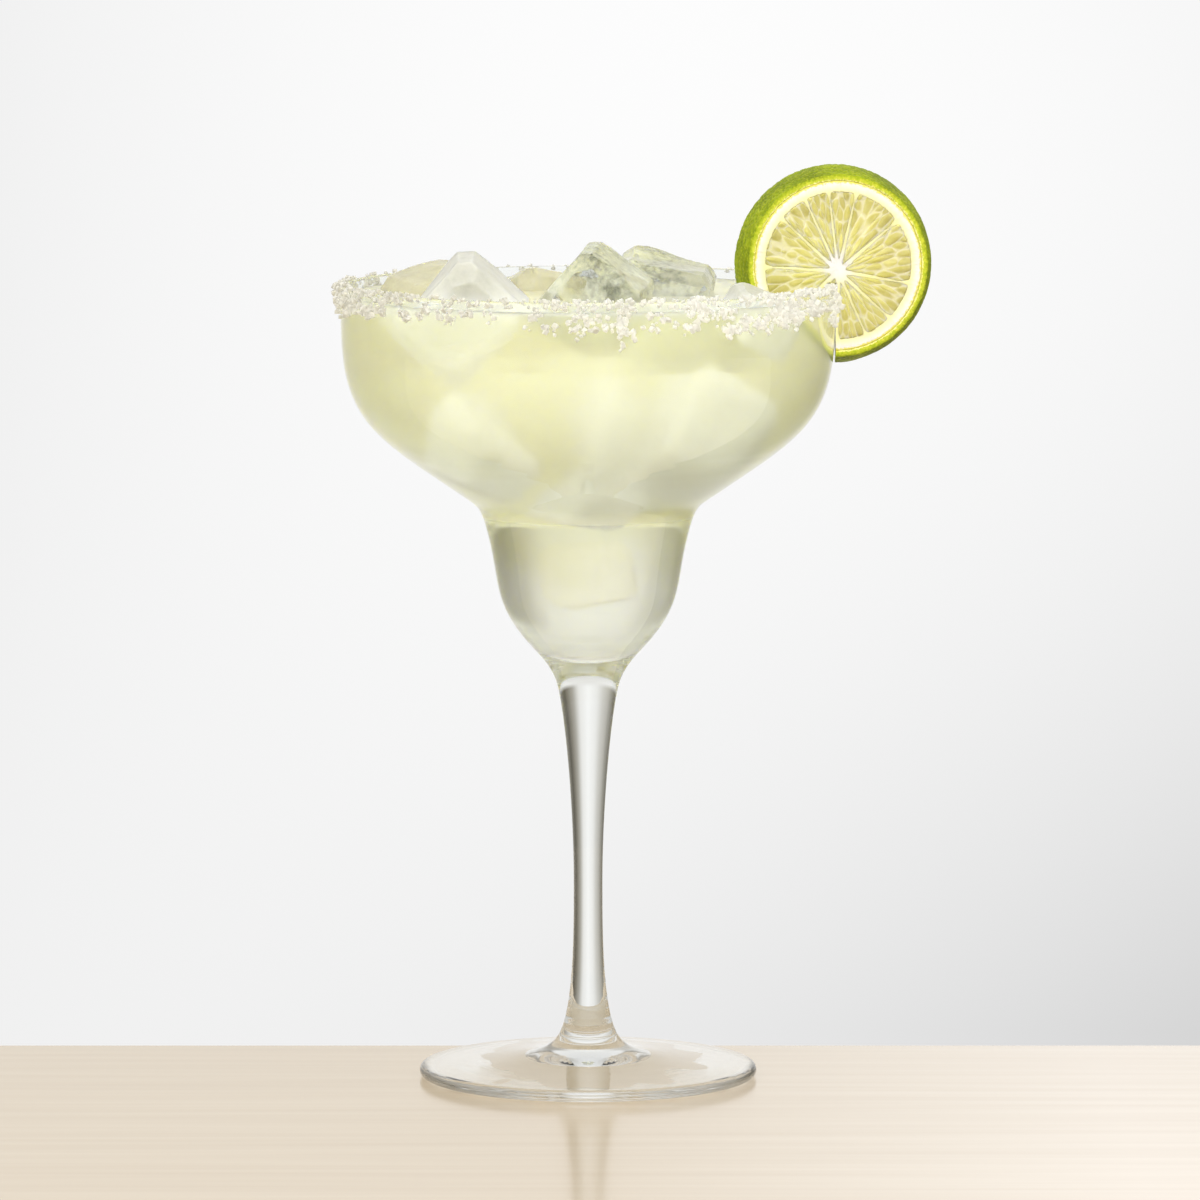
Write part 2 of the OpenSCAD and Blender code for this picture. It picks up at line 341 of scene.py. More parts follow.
def readOutline(node):
    mesh = frame["nodes"][node].data
    rings, ringOf = [], []
    for vertex in mesh.vertices:
        spot = Vector((math.hypot(vertex.co.x, vertex.co.y), vertex.co.z))
        found = next((i for i, ring in enumerate(rings) if (ring - spot).length < glass["ringMatch"]), None)
        if found is None:
            found = len(rings)
            rings.append(spot)
        ringOf.append(found)
    joined = defaultdict(set)
    for edge in mesh.edges:
        a, b = (ringOf[i] for i in edge.vertices)
        if a != b:
            joined[a].add(b)
            joined[b].add(a)
    path = [min((i for i in joined if len(joined[i]) == 1), key=lambda i: rings[i].y)]
    while True:
        onward = [i for i in joined[path[-1]] if i not in path]
        if not onward:
            return [rings[i] for i in path]
        path.append(onward[0])


def curveThrough(points, step):
    # smooth curve through uneven points, with the place of each point along it
    padded = [2 * points[0] - points[1], *points, 2 * points[-1] - points[-2]]
    curve, stops = [points[0]], [0]
    for p0, p1, p2, p3 in zip(padded, padded[1:], padded[2:], padded[3:]):
        t1 = (p1 - p0).length ** 0.5
        t2 = t1 + (p2 - p1).length ** 0.5
        t3 = t2 + (p3 - p2).length ** 0.5
        count = max(2, math.ceil((p2 - p1).length / step))
        for i in range(1, count + 1):
            t = t1 + (t2 - t1) * i / count
            a1 = p0.lerp(p1, t / t1)
            a2 = p1.lerp(p2, (t - t1) / (t2 - t1))
            a3 = p2.lerp(p3, (t - t2) / (t3 - t2))
            b1 = a1.lerp(a2, t / t2)
            b2 = a2.lerp(a3, (t - t1) / (t3 - t1))
            curve.append(b1.lerp(b2, (t - t1) / (t2 - t1)))
        stops.append(len(curve) - 1)
    for spot in curve:
        spot.x, spot.y = max(spot.x, 0), max(spot.y, 0)
    return curve, stops


def outlineNormals(curve):
    normals = []
    for i in range(len(curve)):
        along = curve[min(i + 1, len(curve) - 1)] - curve[max(i - 1, 0)]
        normals.append(Vector((along.y, -along.x)).normalized())
    return normals


def lathe(name, outline, normals, turns, capMaterials=(0, 0)):
    points, facing, rings, faces, finishes = [], [], [], [], []
    angles = [2 * math.pi * i / turns for i in range(turns)]

    def addPole(height, direction):
        points.append((0, 0, height))
        facing.append((0, 0, direction))
        return len(points) - 1

    def addFaces(made, finish):
        faces.extend(made)
        finishes.extend([finish] * len(made))

    for spot, normal in zip(outline, normals):
        if spot.x < glass["ringMatch"]:
            rings.append([addPole(spot.y, 1 if normal.y > 0 else -1)])
            continue
        rings.append(list(range(len(points), len(points) + turns)))
        for a in angles:
            points.append((spot.x * math.cos(a), spot.x * math.sin(a), spot.y))
            facing.append((normal.x * math.cos(a), normal.x * math.sin(a), normal.y))
    for low, high in zip(rings, rings[1:]):
        for i in range(turns):
            j = (i + 1) % turns
            if len(low) == 1:
                addFaces([(low[0], high[j], high[i])], 0)
            elif len(high) == 1:
                addFaces([(low[i], low[j], high[0])], 0)
            else:
                addFaces([(low[i], low[j], high[j], high[i])], 0)
    for ring, sign, finish in ((rings[0], -1, capMaterials[0]), (rings[-1], 1, capMaterials[1])):
        if len(ring) > 1:
            pole = addPole(points[ring[0]][2], sign)
            pairs = [(ring[i], ring[(i + 1) % turns]) for i in range(turns)]
            addFaces([(pole, a, b) if sign > 0 else (pole, b, a) for a, b in pairs], finish)
    piece = meshPiece(name, points, faces)
    piece.data.polygons.foreach_set("material_index", finishes)
    piece.data.normals_split_custom_set_from_vertices(facing)
    return piece


def glassMaterial(name, ior):
    material, tree, inputs = newMaterial(name, Transmission_Weight=1.0, IOR=ior)
    inputs["Base Color"].default_value = glass["tint"]
    giveHaze(tree, inputs, **glass["smears"])
    giveRelief(tree, inputs, **glass["ripples"])
    return material


def fusedJointMaterial():
    # the faces inside the glass where two pieces are fused, which nobody sees
    material, tree, inputs = newMaterial("fused_joint", Alpha=0.0, Roughness=0.0)
    inputs["Base Color"].default_value = glass["tint"]
    return material


def buildGlass():
    materials = [glassMaterial("clear_glass", glass["ior"]), fusedJointMaterial()]
    damp = glassMaterial("damp_glass", glass["dampIor"])
    outlines = {node: readOutline(node) for node in ("foot", "stem", "bowl")}
    whole, ends = [], [0]
    for points in outlines.values():
        whole += points if not whole else points[1:]
        ends.append(len(whole) - 1)
    curve, stops = curveThrough(whole, glass["step"])
    normals = outlineNormals(curve)
    caps = {"foot": (0, 1), "stem": (1, 1), "bowl": (1, 0)}
    for node, first, last in zip(outlines, ends, ends[1:]):
        part = slice(stops[first], stops[last] + 1)
        piece = lathe("glass_" + node, curve[part], normals[part], glass["turns"], caps[node])
        for material in materials:
            piece.data.materials.append(material)
        if node == "foot":
            piece.data.materials.append(damp)
            aside, ahead = glass["damp"]
            scale, depth = glass["dampRagged"]
            for face in piece.data.polygons:
                x, y, _ = face.center
                border = 1 + depth * noise.noise(face.center * scale)
                wetted = math.hypot(x, y) > glass["dampFrom"] and math.hypot(x / aside, y / ahead) < border
                if wetted and face.normal.z < glass["dampFacing"]:
                    face.material_index = len(materials)
        piece.visible_shadow = False
        seat(piece, "glass", "clear_glass", node)
        print("glass", node, len(piece.data.vertices), "points")
    bowlCurve = curve[stops[ends[2]]:]
    lip = max(range(len(bowlCurve)), key=lambda i: bowlCurve[i].y)
    return bowlCurve[:lip + 1], bowlCurve[lip:]


bowlOutside, bowlInside = buildGlass()
lipPoint = bowlOutside[-1]
rimRadius = max(spot.x for spot in bowlOutside)
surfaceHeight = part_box("drink")[1].z


# Ice: the frame's blocks with melted edges, chipped faces and a frosted or clear finish

ice = {
    "voxel": 0.5 * mm,
    "smoothing": 5,
    "swell": {"scale": 70.0, "depth": 1.2 * mm},     # broad melting
    "chips": {"scale": 120.0, "depth": 0.8 * mm},    # shell-shaped chips
    # dark, light and wet colour, share of the light that passes straight through, roughness, and grain
    "finishes": {
        "frosted_ice": {"nodes": ("ice_left", "ice_right"), "ior": 1.25, "clear": 0.5,
                        "dark": paint(186, 186, 178), "light": paint(208, 207, 200),
                        "wet": paint(226, 228, 236),
                        "roughness": (0.29, 0.5), "grain": (0.35, 0.5 * mm)},
        "clear_ice": {"nodes": ("ice_centre", "ice_centre_right"), "ior": 1.31, "clear": 1.0,
                      "dark": paint(68, 74, 70), "light": paint(246, 248, 244),
                      "roughness": (0.015, 0.1), "grain": (0.2, 0.6 * mm)},
        "misted_ice": {"nodes": ("ice_back_left", "ice_back"), "ior": 1.2, "clear": 0.75,
                       "dark": paint(190, 187, 168), "light": paint(214, 210, 190),
                       "roughness": (0.15, 0.26), "grain": (0.35, 0.5 * mm)},
        "sunk_ice": {"nodes": ("ice_low_left", "ice_low_right", "ice_low_back", "ice_neck"),
                     "ior": 1.07, "clear": 0.35,
                     "dark": paint(220, 223, 228), "light": paint(236, 238, 241),
                     "roughness": (0.2, 0.26), "grain": (0.35, 0.5 * mm)},
        "melting_ice": {"nodes": ("ice_cup",), "ior": 1.002, "clear": 0.9,
                        "dark": paint(244, 241, 224), "light": paint(252, 250, 240),
                        "roughness": (0.2, 0.26), "grain": (0.2, 0.5 * mm)},
    },
    "waterline": (-3 * mm, 5 * mm),    # from the drink's surface; a frosted block is wet below it
    "scatter": 0.004,
    "bubbles": {"scale": 700.0, "soft": 0.2},
    "patches": {"scale": 85.0, "soft": 0.1},
    "mist": 110.0,
    "grain": {"coarse": 220.0, "fine": 900.0, "share": 0.35},
    "seed": 31,
}


def iceMaterial(name):
    look = ice["finishes"][name]
    material, tree, inputs = newMaterial(name, Transmission_Weight=look["clear"], IOR=look["ior"],
                                         Subsurface_Weight=1.0, Subsurface_Scale=ice["scatter"])
    inputs["Subsurface Radius"].default_value = (1.0, 1.0, 1.0)
    bubbles = mottled(tree, **ice["bubbles"], dark=look["dark"], light=look["light"])
    tone = mottled(tree, **ice["patches"], dark=bubbles, light=look["light"])
    feed(tree, inputs["Base Color"], blendColours(tree, stored(tree, "wet"), tone, look.get("wet", tone)))
    giveHaze(tree, inputs, ice["mist"], *look["roughness"])
    strength, distance = look["grain"]
    giveRelief(tree, inputs, **ice["grain"], strength=strength, distance=distance)
    return material


def buildIce():
    materials = {name: iceMaterial(name) for name in ice["finishes"]}
    bodyOf = {node: body for body, nodes in frame["record"]["behaviour"]["bodies"].items() for node in nodes}
    finishOf = {node: finish for finish, look in ice["finishes"].items() for node in look["nodes"]}
    for index, node in enumerate(finishOf):
        mesh = evenMesh(node, ice["voxel"], ice["smoothing"])
        places, normals = vertexArray(mesh), normalArray(mesh)
        shift = Vector((ice["seed"] + 7.3 * index, 3.1 * index, 11.7 * index))
        moves = []
        for place in places:
            spot = Vector(place)
            swell = noise.noise(spot * ice["swell"]["scale"] + shift)
            near = noise.voronoi(spot * ice["chips"]["scale"] + shift)[0][0]
            moves.append(ice["swell"]["depth"] * (swell - 0.5) - ice["chips"]["depth"] * max(0, 0.45 - near))
        placeVertices(mesh, places + normals * np.array(moves)[:, None])
        piece = objectFor(node.replace("ice_", "ice_block_"), mesh)
        mesh.materials.append(materials[finishOf[node]])
        storeValues(mesh, "wet", 1 - smoothstep(*ice["waterline"], places[:, 2] - surfaceHeight))
        piece.visible_shadow = False
        seat(piece, bodyOf[node], "ice", node)
    print("ice blocks made:", len(finishOf))


buildIce()


# Drink: fills the bowl, wets the wall a little way up, and is cloudy enough to blur the ice in it

drink = {
    "turns": 300,
    "overlap": 0.05 * mm,     # into the glass, so that no air shows between them
    "meniscus": 1.1 * mm,     # climb at the wall
    "reach": 1.3 * mm,        # how fast the climb dies away
    "deep": paint(245, 243, 213),
    "olive": paint(235, 234, 198),
    "neck": paint(242, 240, 211),   # above the cup
    "weak": paint(254, 252, 238),   # in the cup
    "narrowing": (134 * mm, 156 * mm),   # heights between which the tone turns from the neck's to the bowl's
    "settling": (113 * mm, 126 * mm),    # and from the cup's to the neck's
    "swirl": (60.0, 9 * mm),             # scale and depth of the uneven borders between them
    "clearing": 131 * mm,                # height under which it is clear
    "cloudyShare": 0.56,      # of the light that passes straight through
    "clearShare": 0.88,
    "cloudyRoughness": (0.2, 0.265),
    "clearRoughness": (0.06, 0.12),
    "ior": 1.33,
    "scatter": {"scale": 0.012, "radius": (1.0, 0.97, 0.55)},
    "clouds": {"scale": 22.0, "soft": 0.3},
    "mist": 70.0,
    "ripples": {"coarse": 90.0, "fine": 400.0, "share": 0.2, "strength": 0.12, "distance": 0.6 * mm},
}


def drinkMaterial(name, clearShare, roughness):
    # clearShare is the light that isn't scattered
    scatter = drink["scatter"]
    material, tree, inputs = newMaterial(name, Transmission_Weight=clearShare, IOR=drink["ior"],
                                         Subsurface_Weight=1.0, Subsurface_Scale=scatter["scale"])
    inputs["Subsurface Radius"].default_value = scatter["radius"]
    body = mottled(tree, **drink["clouds"], dark=drink["olive"], light=drink["deep"])
    neck = blendColours(tree, stored(tree, "inNeck"), body, drink["neck"])
    feed(tree, inputs["Base Color"], blendColours(tree, stored(tree, "inCup"), neck, drink["weak"]))
    giveHaze(tree, inputs, drink["mist"], *roughness)
    giveRelief(tree, inputs, **drink["ripples"])
    return material


def buildDrink():
    top = surfaceHeight + drink["meniscus"]
    inner = bowlInside[::-1]                      # from the floor up to the lip
    outward = [-n for n in outlineNormals(inner)]
    wall = [spot - n * drink["overlap"] for spot, n in zip(inner, outward) if spot.y < top]
    for spot in wall:
        spot.x = max(spot.x, 0)
    wall[0].x = 0
    edge = wall[-1].x
    offs = [drink["reach"] * 0.12 * 1.35 ** i for i in range(14)]
    climbs = [drink["meniscus"] * math.exp(-d / drink["reach"]) for d in offs]
    surface = [Vector((edge - d, surfaceHeight + climb)) for d, climb in zip(offs, climbs)]
    rest = np.linspace(surface[-1].x, 0, 24)[1:]
    outline = wall + surface + [Vector((r, surfaceHeight)) for r in rest]
    piece = lathe("cloudy_drink", outline, outlineNormals(outline), drink["turns"])
    mesh = piece.data
    scale, swirl = drink["swirl"]
    places = vertexArray(mesh)
    heights = places[:, 2] + swirl * np.array([noise.noise(Vector(place) * scale) for place in places])
    storeValues(mesh, "inNeck", 1 - smoothstep(*drink["narrowing"], heights))
    storeValues(mesh, "inCup", 1 - smoothstep(*drink["settling"], heights))
    mesh.materials.append(drinkMaterial("cloudy_drink", drink["cloudyShare"], drink["cloudyRoughness"]))
    mesh.materials.append(drinkMaterial("clear_drink", drink["clearShare"], drink["clearRoughness"]))
    low = [int(face.center.z < drink["clearing"]) for face in mesh.polygons]
    mesh.polygons.foreach_set("material_index", low)
    piece.visible_shadow = False
    seat(piece, "glass", "cloudy_drink", "drink")
    print("drink made:", len(mesh.vertices), "points")


buildDrink()


# Lime wheel: peel, pith and segments follow the frame's solids, with pores, fibres and juice cells

lime = {
    "centre": (57 * mm, 0, 188.9 * mm),
    "turn": 8,                    # degrees that the wheel's face is turned from the front
    "thick": 7.5 * mm,
    "radius": 23.2 * mm,          # of the whole lime, whose middle lies behind the slice
    "faceFromMiddle": 9.8 * mm,
    "peel": 1.4 * mm,
    "pith": 2.3 * mm,
    "core": (0, -1.3 * mm),
    "slotGap": 0.4 * mm,
    "hugReach": 0.12 * mm,        # past the slot's gap, within which the flesh closes up
    "hugGap": 0.08 * mm,          # that stays between the flesh and the glass
    "skin": {"voxel": 0.22 * mm, "pores": 1500, "poreSize": 0.36 * mm, "poreDepth": 0.16 * mm,
             "waves": (230, 0.1 * mm)},
    "web": {"voxel": 0.2 * mm, "fibre": 0.08 * mm},
    "pulp": {"voxel": 0.16 * mm, "cellLength": 5.2 * mm, "cellWidth": 1.5 * mm,
             "bulge": 0.4 * mm, "sink": 0.65, "spread": 0.1 * mm},
    "skinTones": (paint(88, 100, 16), paint(148, 161, 24)),
    "cutTones": (paint(152, 168, 34), paint(198, 198, 62)),      # of the peel's cut edge
    "poreTone": paint(84, 106, 14),
    "innerPeel": paint(236, 230, 150),
    "pithTones": (paint(213, 209, 203), paint(227, 224, 222)),
    "webTone": paint(232, 225, 166),                             # of the walls between the segments
    "fringeTone": paint(214, 206, 90),                           # where the pith meets the peel
    "outerPulp": (paint(160, 150, 70), paint(195, 187, 108)),
    "innerPulp": (paint(197, 188, 100), paint(211, 204, 124)),
    "veilTone": paint(232, 226, 176),
    "cellWallTone": paint(240, 236, 204),
    "seed": 12,
}
wheelTurn = Euler((math.radians(90), 0, math.radians(lime["turn"]))).to_matrix()
wheelAxes = np.array(wheelTurn)               # columns: across, up and out of the wheel's face
fruitMiddle = np.array((0, 0, lime["thick"] / 2 - lime["faceFromMiddle"]))
pithOutside = lime["radius"] - lime["peel"]
pulpOutside = pithOutside - lime["pith"]


def onWheel(places):
    # places in the wheel's own frame: across, up, and out of its face
    return (places - np.array(lime["centre"])) @ wheelAxes


def fromFruitMiddle(wheel):
    return np.linalg.norm(wheel - fruitMiddle, axis=1)


def peelMaterial():
    material, tree, inputs = newMaterial("lime_peel", Roughness=0.5, Specular_IOR_Level=0.14,
                                         Subsurface_Weight=0.2, Subsurface_Scale=0.002)
    inputs["Subsurface Radius"].default_value = (0.6, 1.0, 0.2)
    skin = mottled(tree, 120.0, 0.24, *lime["skinTones"])
    cut = mottled(tree, 1500.0, 0.16, *lime["cutTones"])
    specks = maths(tree, "MULTIPLY", speckled(tree, 1900.0, 0.12), 0.3)
    depth = maths(tree, "ADD", stored(tree, "fromSkin"), specks)
    inner = blendColours(tree, remap(tree, depth, 0.85, 1.12, 0.0, 1.0), cut, lime["innerPeel"])
    tone = blendColours(tree, remap(tree, depth, 0.12, 0.6, 0.0, 1.0), skin, inner)
    pore = remap(tree, stored(tree, "pore"), 0.0, 1.0, 0.0, 0.5)
    feed(tree, inputs["Base Color"], blendColours(tree, pore, tone, lime["poreTone"]))
    giveRelief(tree, inputs, coarse=600.0, fine=2600.0, share=0.4, strength=0.3, distance=0.25 * mm)
    return material


def pithMaterial():
    material, tree, inputs = newMaterial("lime_pith", Roughness=0.5,
                                         Subsurface_Weight=0.6, Subsurface_Scale=0.001)
    inputs["Subsurface Radius"].default_value = (1.0, 0.95, 0.6)
    body = mottled(tree, 420.0, 0.3, *lime["pithTones"])
    specks = maths(tree, "MULTIPLY", speckled(tree, 1700.0, 0.12), 0.16)
    edge = maths(tree, "SUBTRACT", stored(tree, "toPeel"), specks)
    web = blendColours(tree, stored(tree, "inWeb"), body, lime["webTone"])
    fringe = blendColours(tree, remap(tree, edge, 0.0, 0.16, 1.0, 0.0), web, lime["fringeTone"])
    feed(tree, inputs["Base Color"], fringe)
    giveRelief(tree, inputs, coarse=900.0, fine=3200.0, share=0.5, strength=0.25, distance=0.2 * mm)
    return material


def pulpMaterial():
    material, tree, inputs = newMaterial("lime_pulp", Roughness=0.12, Transmission_Weight=0.12, IOR=1.35,
                                         Subsurface_Weight=1.0, Subsurface_Scale=0.002)
    inputs["Subsurface Radius"].default_value = (1.0, 1.0, 0.5)
    outer = blendColours(tree, stored(tree, "cellTone"), *lime["outerPulp"])
    inner = blendColours(tree, stored(tree, "cellTone"), *lime["innerPulp"])
    body = blendColours(tree, stored(tree, "fromCore"), inner, outer)
    clouded = blendColours(tree, 0.35, body, mottled(tree, 330.0, 0.2, body, lime["veilTone"]))
    wall = remap(tree, stored(tree, "cellWall"), 0.0, 1.0, 0.0, 0.6)
    feed(tree, inputs["Base Color"], blendColours(tree, wall, clouded, lime["cellWallTone"]))
    giveRelief(tree, inputs, coarse=500.0, fine=2000.0, share=0.3, strength=0.25, distance=0.3 * mm)
    return material


def hugGlass(mesh):
    # the flesh beside the slot closes up against the outside of the glass
    places = vertexArray(mesh)
    around = np.hypot(places[:, 0], places[:, 1])
    reach = rimRadius + lime["slotGap"] + lime["hugReach"]
    beside = (around > rimRadius) & (around < reach) & (places[:, 2] < lipPoint.y)
    places[beside, :2] *= ((rimRadius + lime["hugGap"]) / around[beside])[:, None]
    placeVertices(mesh, places)


def buildPeel():
    mesh = evenMesh("lime_peel", lime["skin"]["voxel"], 1)
    places, normals = vertexArray(mesh), normalArray(mesh)
    wheel = onWheel(places)
    fromSkin = np.clip((lime["radius"] - fromFruitMiddle(wheel)) / lime["peel"], 0, 1)
    draw = random.Random(lime["seed"])
    pores = KDTree(lime["skin"]["pores"])
    for i in range(lime["skin"]["pores"]):
        turn, out = draw.uniform(0, 2 * math.pi), draw.uniform(-0.5, 0.5) * lime["thick"] - fruitMiddle[2]
        around = math.sqrt(lime["radius"] ** 2 - out ** 2)
        pores.insert((around * math.cos(turn), around * math.sin(turn), out + fruitMiddle[2]), i)
    pores.balance()
    gaps = np.array([pores.find(spot)[2] for spot in wheel])
    pore = np.exp(-(gaps / lime["skin"]["poreSize"]) ** 2) * (1 - smoothstep(0.0, 0.2, fromSkin))
    scale, depth = lime["skin"]["waves"]
    waves = np.array([noise.noise(Vector(spot) * scale) for spot in wheel])
    moves = -lime["skin"]["poreDepth"] * pore + depth * (waves - 0.6) * (1 - fromSkin)
    placeVertices(mesh, places + normals * moves[:, None])
    storeValues(mesh, "fromSkin", fromSkin)
    storeValues(mesh, "pore", pore)
    hugGlass(mesh)
    mesh.materials.append(peelMaterial())
    seat(objectFor("lime_skin", mesh), "lime", "lime_peel", "lime_peel")


def buildPith():
    mesh = evenMesh("lime_pith", lime["web"]["voxel"], 1)
    places, normals = vertexArray(mesh), normalArray(mesh)
    wheel = onWheel(places)
    radius = np.hypot(wheel[:, 0], wheel[:, 1])
    turn = np.arctan2(wheel[:, 1], wheel[:, 0])
    spots = [Vector((40 * math.cos(t), 40 * math.sin(t), r * 300)) for t, r in zip(turn, radius)]
    fibres = np.array([noise.noise(spot) for spot in spots])
    placeVertices(mesh, places + normals * (lime["web"]["fibre"] * fibres)[:, None])
    storeValues(mesh, "toPeel", (pithOutside - fromFruitMiddle(wheel)) / lime["pith"])
    beyondPulp = smoothstep(0.86, 0.98, radius / pulpOutside)
    storeValues(mesh, "inWeb", smoothstep(1 * mm, 6 * mm, radius) * (1 - beyondPulp))
    hugGlass(mesh)
    mesh.materials.append(pithMaterial())
    seat(objectFor("lime_pith_web", mesh), "lime", "lime_pith", "lime_pith")


def juiceCells(turn, radius, draw):
    # long drops that fan out from the core: how far each point is from its cell's wall,
    # and its cell's own numbers
    cellWidth, cellLength = lime["pulp"]["cellWidth"], lime["pulp"]["cellLength"]
    squeeze = cellWidth / cellLength
    reach = 0.62 * pulpOutside
    width = max(turn.max() - turn.min(), 0.1) * reach
    spots = []
    rowHeight = 0.42 * cellLength
    for row in range(int(pulpOutside / rowHeight) + 2):
        r = row * rowHeight
        count = max(2, round(width / cellWidth / 2 * (0.5 + 0.7 * r / pulpOutside)))
        for i in range(count + 1):
            across = turn.min() * reach + width * (i + (row % 2) * 0.5 + draw.uniform(-0.4, 0.4)) / count
            spots.append((across, (r + draw.uniform(-0.55, 0.55) * rowHeight) * squeeze, 0))
    cells = KDTree(len(spots))
    for i, spot in enumerate(spots):
        cells.insert(spot, i)
    cells.balance()
    tones = [draw.random() for spot in spots]
    lifts = [draw.uniform(-1, 1) for spot in spots]
    wall, tone, lift = [], [], []
    for t, r in zip(turn, radius):
        first, second = cells.find_n((t * reach, r * squeeze, 0), 2)
        wall.append((second[2] - first[2]) / (second[2] + first[2] + 1e-9))
        tone.append(tones[first[1]])
        lift.append(lifts[first[1]])
    return np.array(wall), np.array(tone), np.array(lift)


def buildSegments():
    material = pulpMaterial()
    draw = random.Random(lime["seed"])
    for node in sorted(n for n in frame["nodes"] if n.startswith("lime_segment_")):
        mesh = evenMesh(node, lime["pulp"]["voxel"], 1)
        places, normals = vertexArray(mesh), normalArray(mesh)
        spread = onWheel(places)[:, :2] - np.array(lime["core"])
        middle = math.atan2(spread[:, 1].mean(), spread[:, 0].mean())
        turn = (np.arctan2(spread[:, 1], spread[:, 0]) - middle + math.pi) % (2 * math.pi) - math.pi
        radius = np.hypot(spread[:, 0], spread[:, 1])
        wall, tone, lift = juiceCells(turn, radius, draw)
        facing = np.abs(normals @ wheelAxes)[:, 2]
        rounded = np.sqrt(np.clip(wall * 1.5, 0, 1))
        bulge = lime["pulp"]["bulge"] * (rounded * (1 + 0.45 * lift) - lime["pulp"]["sink"])
        moves = bulge * smoothstep(0.5, 0.9, facing) + lime["pulp"]["spread"]
        placeVertices(mesh, places + normals * moves[:, None])
        storeValues(mesh, "cellWall", 1 - smoothstep(0.03, 0.22, wall))
        storeValues(mesh, "cellTone", tone)
        storeValues(mesh, "fromCore", smoothstep(0.3, 0.95, radius / pulpOutside))
        hugGlass(mesh)
        mesh.materials.append(material)
        seat(objectFor(node.replace("segment", "pulp"), mesh), "lime", "lime_pulp", node)


buildPeel()
buildPith()
buildSegments()
print("lime wheel made")


# Salt: crystals on the lip, and clumps that hang on the glass below it

salt = {
    "shapes": 18,
    "lipRound": 0.75 * mm,        # radius of the rounded lip
    "lipGrains": 1150,
    "lipSizes": (0.5 * mm, 1.2 * mm),
    "clumps": 350,
    "clumpGrains": (4, 11),
    "clumpSpread": 1.0 * mm,
    "clumpSizes": (0.7 * mm, 1.6 * mm),
    "bandTop": 1.8 * mm,          # of the clumps below the lip
    # share of the clumps that stay and the depth that they reach, by degrees around the rim
    "band": ((-180, 0.5, 3.6), (-160, 0.55, 4.2), (-128, 0.45, 4.6), (-115, 0.15, 3.0), (-103, 0.3, 3.4),
             (-96, 0.8, 6.6), (-88, 0.45, 4.4), (-82, 0.9, 8.4), (-74, 0.5, 5.4), (-58, 0.6, 5.0),
             (-45, 0.8, 5.4), (-25, 0.95, 6.6), (0, 0.95, 6.2), (20, 0.3, 3.4), (90, 0.15, 2.4),
             (160, 0.3, 3.0), (180, 0.6, 3.6)),
    "lipShare": 0.35,             # more of the lip's grains stay than of the clumps
    "backShare": 0.25,            # of the lip's grains on the far side of the rim
    "clearance": 0.5 * mm,        # to the lime wheel's faces
    # painted shade and light: grains on the left take the shaded tone, grains on the right the lit tone
    "shadedSideTone": paint(146, 140, 116),
    "litSideTone": paint(214, 212, 200),
    "lightTone": paint(218, 216, 208),
    "seed": 57,
}


def crystalShapes(draw, count):
    # lumpy crystals: hulls of a cube's corners with some knocked in
    shapes = []
    for _ in range(count):
        work = bmesh.new()
        for x in (-0.5, 0.5):
            for y in (-0.5, 0.5):
                for z in (-0.5, 0.5):
                    dent = 1 - 0.45 * draw.random() ** 2
                    across = x * dent + draw.uniform(-0.06, 0.06)
                    work.verts.new((across, y * dent * draw.uniform(0.8, 1), z * dent))
        for _ in range(3):
            work.verts.new(Vector((draw.gauss(0, 1), draw.gauss(0, 1), draw.gauss(0, 1))).normalized() * 0.6)
        bmesh.ops.convex_hull(work, input=work.verts)
        loose = [v for v in work.verts if not v.link_faces]
        bmesh.ops.delete(work, geom=loose, context="VERTS")
        work.verts.index_update()
        shapes.append(([v.co.copy() for v in work.verts], [[v.index for v in f.verts] for f in work.faces]))
        work.free()
    return shapes


def clearOfLime(place, half):
    out = onWheel(np.array(place)[None, :])[0, 2]
    return place[0] < 0 or abs(out) > lime["thick"] / 2 + salt["clearance"] + half


def saltMaterial():
    material, tree, inputs = newMaterial("coarse_salt", Roughness=0.4, Specular_IOR_Level=0.3,
                                         Transmission_Weight=0.3, IOR=1.3,
                                         Subsurface_Weight=1.0, Subsurface_Scale=0.002)
    inputs["Subsurface Radius"].default_value = (1.0, 1.0, 1.0)
    # painted shade: the stored value blends from the shaded tone on the left to the lit tone on the right,
    # with a random tone per grain
    tone = blendColours(tree, stored(tree, "grainToneAndSideShade"), salt["shadedSideTone"], salt["litSideTone"])
    feed(tree, inputs["Base Color"], mottled(tree, 900.0, 0.3, tone, salt["lightTone"]))
    giveRelief(tree, inputs, coarse=1500.0, fine=5000.0, share=0.4, strength=0.3, distance=0.15 * mm)
    return material


